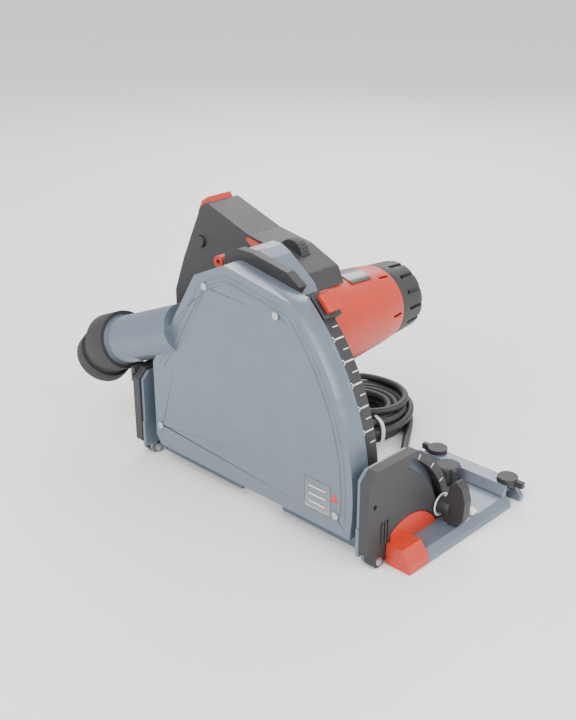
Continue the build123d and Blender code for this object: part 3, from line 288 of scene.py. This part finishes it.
# Glass-filled nylon, spark-textured mould: dull black that greys at a grazing view.
nylon, tree, shader = new_material("glass_filled_nylon", {"Roughness": 0.55, "IOR": 1.53})
grain(tree, shader, 1400.0, 0.00015, ("#252527", "#323234"), (0.48, 0.66))
# Coloured nylon from a finer mould: more even, with a soft sheen.
red_nylon, tree, shader = new_material("red_moulded_nylon", {"Roughness": 0.4, "IOR": 1.53})
grain(tree, shader, 1100.0, 0.00008, ("#b92c14", "#c3361d"), (0.35, 0.46))
# Moulded rubber: dull, slightly dusty.
rubber, tree, shader = new_material("moulded_rubber", {"Roughness": 0.72, "IOR": 1.52})
grain(tree, shader, 700.0, 0.00018, ("#262627", "#373738"), (0.66, 0.8))
red_rubber, tree, shader = new_material("red_moulded_rubber", {"Roughness": 0.6, "IOR": 1.52})
grain(tree, shader, 700.0, 0.00012, ("#a92c1b", "#bd3822"), (0.54, 0.68))
# Zinc-plated turned steel: fine tool marks round the axis.
zinc, tree, shader = new_material("zinc_plated_steel", {"Roughness": 0.3, "Metallic": 1.0})
grain(tree, shader, 900.0, 0.00004, ("#b4b5b6", "#c9cacb"), (0.24, 0.36), (1, 6, 1))
saw_steel, tree, shader = new_material("ground_saw_steel", {"Roughness": 0.26, "Metallic": 1.0})
grain(tree, shader, 1200.0, 0.00003, ("#bcbdbf", "#cfd0d1"), (0.2, 0.32), (6, 1, 1))
gear_steel, tree, shader = new_material("hardened_gear_steel", {"Roughness": 0.35, "Metallic": 1.0})
grain(tree, shader, 700.0, 0.00003, ("#8d8e90", "#a2a3a4"), (0.3, 0.44))
copper, tree, shader = new_material("turned_copper", {"Roughness": 0.3, "Metallic": 1.0})
grain(tree, shader, 900.0, 0.00003, ("#b8714a", "#c9835b"), (0.25, 0.38), (1, 6, 1))
carbon, tree, shader = new_material("pressed_carbon", {"Roughness": 0.7})
grain(tree, shader, 1500.0, 0.0001, ("#1c1c1d", "#2c2c2d"), (0.62, 0.76))
core, tree, shader = new_material("varnished_core_steel", {"Roughness": 0.5, "Metallic": 0.6})
grain(tree, shader, 1500.0, 0.0001, ("#4a3a30", "#5b4a3e"), (0.42, 0.56), (1, 8, 1))
film, tree, shader = new_material(
    "printed_film", {"Roughness": 0.25, "Coat Weight": 0.4, "Coat Roughness": 0.1}
)
grain(tree, shader, 300.0, 0.00002, ("#1f1f21", "#29292b"), (0.2, 0.3))
glide, tree, shader = new_material("low_friction_film", {"Roughness": 0.45})
grain(tree, shader, 800.0, 0.00006, ("#2e2e2f", "#3c3c3d"), (0.4, 0.52))
clear, tree, shader = new_material(
    "clear_polycarbonate",
    {"Base Color": linear("#e8edf0"), "Roughness": 0.06, "IOR": 1.585, "Transmission Weight": 0.9},
)
grain(tree, shader, 200.0, 0.00001)
FINISHES = {
    "grey_enamel": enamel, "black_plastic": nylon, "red_plastic": red_nylon, "rubber": rubber,
    "red_rubber": red_rubber, "bright_steel": zinc, "blade_steel": saw_steel, "gear_steel": gear_steel,
    "copper": copper, "carbon": carbon, "core_steel": core, "label_film": film,
    "glide_film": glide, "clear_plastic": clear, "cord_rubber": cord_rubber,
}
for row in frame["record"]["subparts"]:
    node = frame["nodes"][row["node"]]
    if not node.material_slots:
        node.data.materials.append(FINISHES[row["material_slot"]])
    for material_slot in node.material_slots:
        material_slot.material = FINISHES[row["material_slot"]]

# ---- edge rounding on the carried-over nodes ----
# Castings, mouldings and turned pieces all have a small radius or a broken edge.
EDGE_RADIUS = {"grey_enamel": 0.0008, "black_plastic": 0.0007, "red_plastic": 0.0008, "rubber": 0.0012}
for row in frame["record"]["subparts"]:
    node = frame["nodes"][row["node"]]
    if row["material_slot"] in EDGE_RADIUS and row["node"] not in ("cord", "cord_coil", "cooling_fan"):
        weld = node.modifiers.new("merge", "WELD")
        weld.merge_threshold = 0.00001
        rounding = node.modifiers.new("edge", "BEVEL")
        rounding.width = EDGE_RADIUS[row["material_slot"]]
        rounding.segments = 2
        rounding.limit_method = "ANGLE"
        rounding.angle_limit = math.radians(38)
        rounding.harden_normals = True
        rounding.use_clamp_overlap = True

# ---- depth scale marks: white paint in the moulded scale ----
# A long mark with a number each 10 mm of depth, and a short one between; the numbers are plain.
white_paint, tree, shader = new_material("white_marking_paint", {"Roughness": 0.5})
grain(tree, shader, 900.0, 0.00003, ("#ecece8", "#f8f8f5"), (0.45, 0.56))
PIVOT = (-0.1085, 0.055)
ARM = 0.104
SCALE_RADIUS = 0.222
BLADE_RADIUS = 0.081
ZERO_MARK = 42.5            # degrees, where the scale's zero stands


def depth_angle(depth):
    """Degrees on the scale for a cutting depth in mm.

    The spindle's height is the blade radius less the depth; the arm's angle is the arcsine of that
    height above the pivot over the arm, and the scale turns back by as much from its zero mark.
    """
    height = BLADE_RADIUS - depth / 1000 - PIVOT[1]
    zero = BLADE_RADIUS - PIVOT[1]
    return ZERO_MARK - math.degrees(math.asin(zero / ARM) - math.asin(height / ARM))


def arc_patch(angle, wide, y0, y1, lift=0.00012):
    """Patch on the scale's outer face: radius fixed, angle and Y run over the grid."""
    angles = np.radians(np.linspace(angle - wide / 2, angle + wide / 2, 3))
    ys = np.linspace(CUT_LINE + y0, CUT_LINE + y1, 3)
    turn_angle, y = np.meshgrid(angles, ys, indexing="ij")
    radius = SCALE_RADIUS + lift
    return np.stack([PIVOT[0] + radius * np.cos(turn_angle), y, PIVOT[1] + radius * np.sin(turn_angle)], -1)


PAINT_FILM = 0.0002


def thick(piece):
    """Gives a painted patch its film thickness, half to each side."""
    film_thickness = piece.modifiers.new("film", "SOLIDIFY")
    film_thickness.thickness = PAINT_FILM
    film_thickness.offset = 0
    return piece


for depth in range(0, 56, 5):
    long_mark = depth % 10 == 0
    mark = surface(
        f"scale_mark_{depth:02d}",
        arc_patch(depth_angle(depth), 0.34 if long_mark else 0.22, 0.0225 if long_mark else 0.0265, 0.0335),
        white_paint, "head",
    )
    thick(mark)


def scale_number(text, angle, y, size):
    """Number as a mesh on the scale's outer face, with its foot towards the floor."""
    text_data = bpy.data.curves.new("number", "FONT")
    text_data.body = text
    text_data.size = size
    text_data.align_x = "CENTER"
    text_data.align_y = "CENTER"
    text_data.extrude = 0.0001
    holder = bpy.data.objects.new("number", text_data)
    bpy.context.scene.collection.objects.link(holder)
    bpy.context.view_layer.update()
    mesh = bpy.data.meshes.new_from_object(holder.evaluated_get(bpy.context.evaluated_depsgraph_get()))
    bpy.data.objects.remove(holder)
    flat = np.empty(len(mesh.vertices) * 3)
    mesh.vertices.foreach_get("co", flat)
    flat = flat.reshape(-1, 3)
    turned = math.radians(angle)
    outwards = np.array([math.cos(turned), 0, math.sin(turned)])
    upwards = np.array([-math.sin(turned), 0, math.cos(turned)])
    centre = np.array([PIVOT[0], CUT_LINE + y, PIVOT[1]]) + (SCALE_RADIUS + 0.0002) * outwards
    on_face = flat[:, :1] * np.array([0, 1, 0]) + flat[:, 1:2] * upwards + flat[:, 2:] * outwards
    mesh.vertices.foreach_set("co", (centre + on_face).ravel())
    mesh.update()
    return mesh


for depth in range(0, 60, 10):
    number_mesh = scale_number(str(depth), depth_angle(depth), 0.0185, 0.0072)
    number_mesh.materials.append(white_paint)
    number = bpy.data.objects.new(f"scale_number_{depth:02d}", number_mesh)
    bpy.context.scene.collection.objects.link(number)
    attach(number, "head")

# ---- guard rim: the raised lines cast into the guard's face along its top and front ----
# Cast with the guard in one piece and enamelled over, so the edges are soft and catch the light.
GUARD_FACE = CUT_LINE - 0.010
RIM_CORNERS = ((47.2, 224.3), (-36.5, 239), (-77.5, 220), (-145.5, 112))
RIM_ARC = 0.230              # radius of the guard's curved front edge


def rim_path(inset):
    """Line parallel to the guard's outline: an arc about the plunge pivot, then straight runs.

    The arc's radius is 230 mm less the inset. Each straight run is shifted inwards along its
    normal by the inset, and the corners are where shifted neighbours cross.
    """
    corners = np.array(RIM_CORNERS) / 1000
    runs = np.diff(corners, axis=0)
    inwards = np.stack([-runs[:, 1], runs[:, 0]], -1) / np.linalg.norm(runs, axis=1)[:, None]
    starts = corners[:-1] + inset * inwards
    cross = [starts[0]]
    for k in range(len(runs) - 1):
        steps = np.linalg.solve(np.stack([runs[k], -runs[k + 1]], -1), starts[k + 1] - starts[k])
        cross.append(starts[k] + steps[0] * runs[k])
    cross.append(starts[-1] + 0.94 * runs[-1])
    angles = np.radians(np.linspace(-5, 46.6, 60))
    arc = np.array(PIVOT) + (RIM_ARC - inset) * np.stack([np.cos(angles), np.sin(angles)], -1)
    cross[0] = cross[0] + 0.012 * runs[0] / np.linalg.norm(runs[0])
    straight = [a + (b - a) * t for a, b in zip(cross, cross[1:]) for t in np.linspace(0, 1, 14)]
    line = np.vstack([arc, straight])
    for _ in range(3):
        line[1:-1] = (line[:-2] + 2 * line[1:-1] + line[2:]) / 4
    return line


def ridge(name, inset, half_wide, high):
    """Half-round ridge on the guard's face: an ellipse carried along the rim line, closing at its ends."""
    line = rim_path(inset)
    along = np.gradient(line, axis=0)
    along /= np.linalg.norm(along, axis=1)[:, None]
    side = np.stack([along[:, 1], -along[:, 0]], -1)
    count = len(line)
    part = np.linspace(0, 1, count)
    taper = np.clip(np.minimum(part, 1 - part) / 0.02, 0, 1) ** 0.5
    turn_round = np.linspace(0, 2 * np.pi, 12, endpoint=False)
    across = half_wide * taper[:, None] * np.cos(turn_round)
    out = high * taper[:, None] * np.sin(turn_round)
    x = line[:, :1] + side[:, :1] * across
    z = line[:, 1:] + side[:, 1:] * across
    piece = surface(name, np.stack([x, GUARD_FACE - out, z], -1), enamel, "head", closed_v=True)


ridge("guard_rim_inner", 0.0145, 0.0017, 0.0011)
ridge("guard_rim_outer", 0.0085, 0.0009, 0.0006)

# ---- bevel scale: white marks each 15 degrees on the front segment ----
# Paint rolled into the moulded marks.
TILT_HEIGHT = 0.007
SEGMENT_FACE = 0.1445


for bevel in (0, 15, 30, 45):
    towards = math.radians(13 + bevel)
    radii, widths = np.meshgrid(
        np.linspace(0.0957, 0.1005, 3), np.linspace(-0.0005, 0.0005, 2), indexing="ij"
    )
    y = CUT_LINE + radii * math.cos(towards) - widths * math.sin(towards)
    z = TILT_HEIGHT + radii * math.sin(towards) + widths * math.cos(towards)
    bevel_mark = surface(
        f"bevel_mark_{bevel:02d}",
        np.stack([np.full_like(y, SEGMENT_FACE + 0.0001), y, z], -1),
        white_paint, "base",
    )
    thick(bevel_mark)

# ---- cutting mark: red arrow beside the sight window, and white lines on its pane ----
# Printed on the enamel and on the clear pane.
red_paint, tree, shader = new_material("red_marking_paint", {"Roughness": 0.45})
grain(tree, shader, 900.0, 0.00003, ("#c8301c", "#d63c26"), (0.4, 0.5))
part, width = np.meshgrid(np.linspace(0, 1, 6), np.linspace(-1, 1, 4), indexing="ij")
arrow_x = 0.1005 + 0.0045 * width * (1 - 0.96 * part)
arrow = surface(
    "cut_arrow",
    np.stack([arrow_x, np.full_like(part, GUARD_FACE - 0.0001), 0.052 + 0.009 * part], -1),
    red_paint, "head",
)
thick(arrow)
for line_number, line_height in enumerate((0.042, 0.050, 0.058)):
    x, z = np.meshgrid(np.linspace(0.070, 0.090, 5), np.linspace(-0.0005, 0.0005, 2), indexing="ij")
    pane_line = surface(
        f"pane_line_{line_number}",
        np.stack([x, np.full_like(x, GUARD_FACE - 0.0004), line_height + z], -1), white_paint, "head",
    )
    thick(pane_line)

# ---- clamp washer: pale nylon ring under the winged knob ----
# Moulded nylon, waxy and near white.
pale_nylon, tree, shader = new_material(
    "pale_nylon", {"Roughness": 0.42, "IOR": 1.53, "Subsurface Weight": 0.05}
)
grain(tree, shader, 600.0, 0.00004, ("#e2e0da", "#eeece6"), (0.36, 0.48))


def two_turns(first, second):
    """Grid of two angles, each over a full turn in this many steps."""
    return np.meshgrid(
        np.linspace(0, 2 * np.pi, first, endpoint=False),
        np.linspace(0, 2 * np.pi, second, endpoint=False),
        indexing="ij",
    )


def ring(name, centre, radius, thickness, material, body):
    """Torus about X: the tube angle and the ring angle run over the grid."""
    round_ring, round_tube = two_turns(48, 12)
    reach = radius + thickness * np.cos(round_tube)
    points = np.stack([
        centre[0] + 0.6 * thickness * np.sin(round_tube),
        centre[1] + reach * np.cos(round_ring),
        centre[2] + reach * np.sin(round_ring),
    ], -1)
    piece = surface(name, points, material, body, closed_u=True, closed_v=True)


CLAMP_PLACE = (0.1462, CUT_LINE + 0.0877, 0.0272)
WASHER_RADIUS = 0.0105
WASHER_TUBE = 0.0011
ring(
    "clamp_washer", CLAMP_PLACE, WASHER_RADIUS, WASHER_TUBE, pale_nylon, "bevel_lever_front"
)

# ---- index tab: small pale pointer clipped on the plate's front edge ----
# Moulded nylon with a rounded top.
def squared(turned, power=0.55):
    """Cosine-like wave with flattened sides, the sign kept and the size raised to a power."""
    return np.sign(turned) * np.abs(turned) ** power


TAB_PLACE = (0.160, CUT_LINE + 0.1155, 0.0119)
TAB_HALF = (0.0048, 0.0052)
TAB_RISE = 0.0045
# Rows run from the middle of the foot, out to its edge, and up over the rounded top.
around_tab = np.linspace(0, 2 * np.pi, 28, endpoint=False)
up_tab = np.linspace(0, np.pi / 2, 9)
swell = np.concatenate([[0.0, 0.5], np.cos(up_tab[:-1]) ** 0.35, [0.0]])[:, None]
rise = np.concatenate([[0.0, 0.0], np.sin(up_tab)])[:, None]
tab = surface(
    "index_tab",
    np.stack([
        TAB_PLACE[0] + TAB_HALF[0] * swell * squared(np.cos(around_tab)),
        TAB_PLACE[1] + TAB_HALF[1] * swell * squared(np.sin(around_tab)),
        TAB_PLACE[2] + TAB_RISE * rise + 0 * around_tab,
    ], -1),
    pale_nylon, "base", closed_v=True,
)

# ---- painted highlight on the wound lead: two pale bands round the coil ----
# The pale bands are a painted highlight for the light caught on the coil's loops; each lies flat under the
# turns.
for highlight_number, highlight_angle in enumerate((-25, 200)):
    towards = math.radians(highlight_angle)
    loop, width = two_turns(40, 10)
    reach = 0.044 + (0.0172 + 0.0006 * np.cos(width)) * squared(np.cos(loop), 0.7)
    height = 0.0122 + (0.0128 + 0.0006 * np.cos(width)) * squared(np.sin(loop), 0.7)
    sideways = 0.0022 * np.sin(width)
    highlight_band = surface(
        f"painted_cord_highlight_{highlight_number}",
        np.stack([
            COIL_CENTRE[0] + reach * math.cos(towards) - sideways * math.sin(towards),
            COIL_CENTRE[1] + reach * math.sin(towards) + sideways * math.cos(towards),
            np.maximum(height, 0.0002),
        ], -1),
        pale_nylon, "base", closed_u=True, closed_v=True,
    )
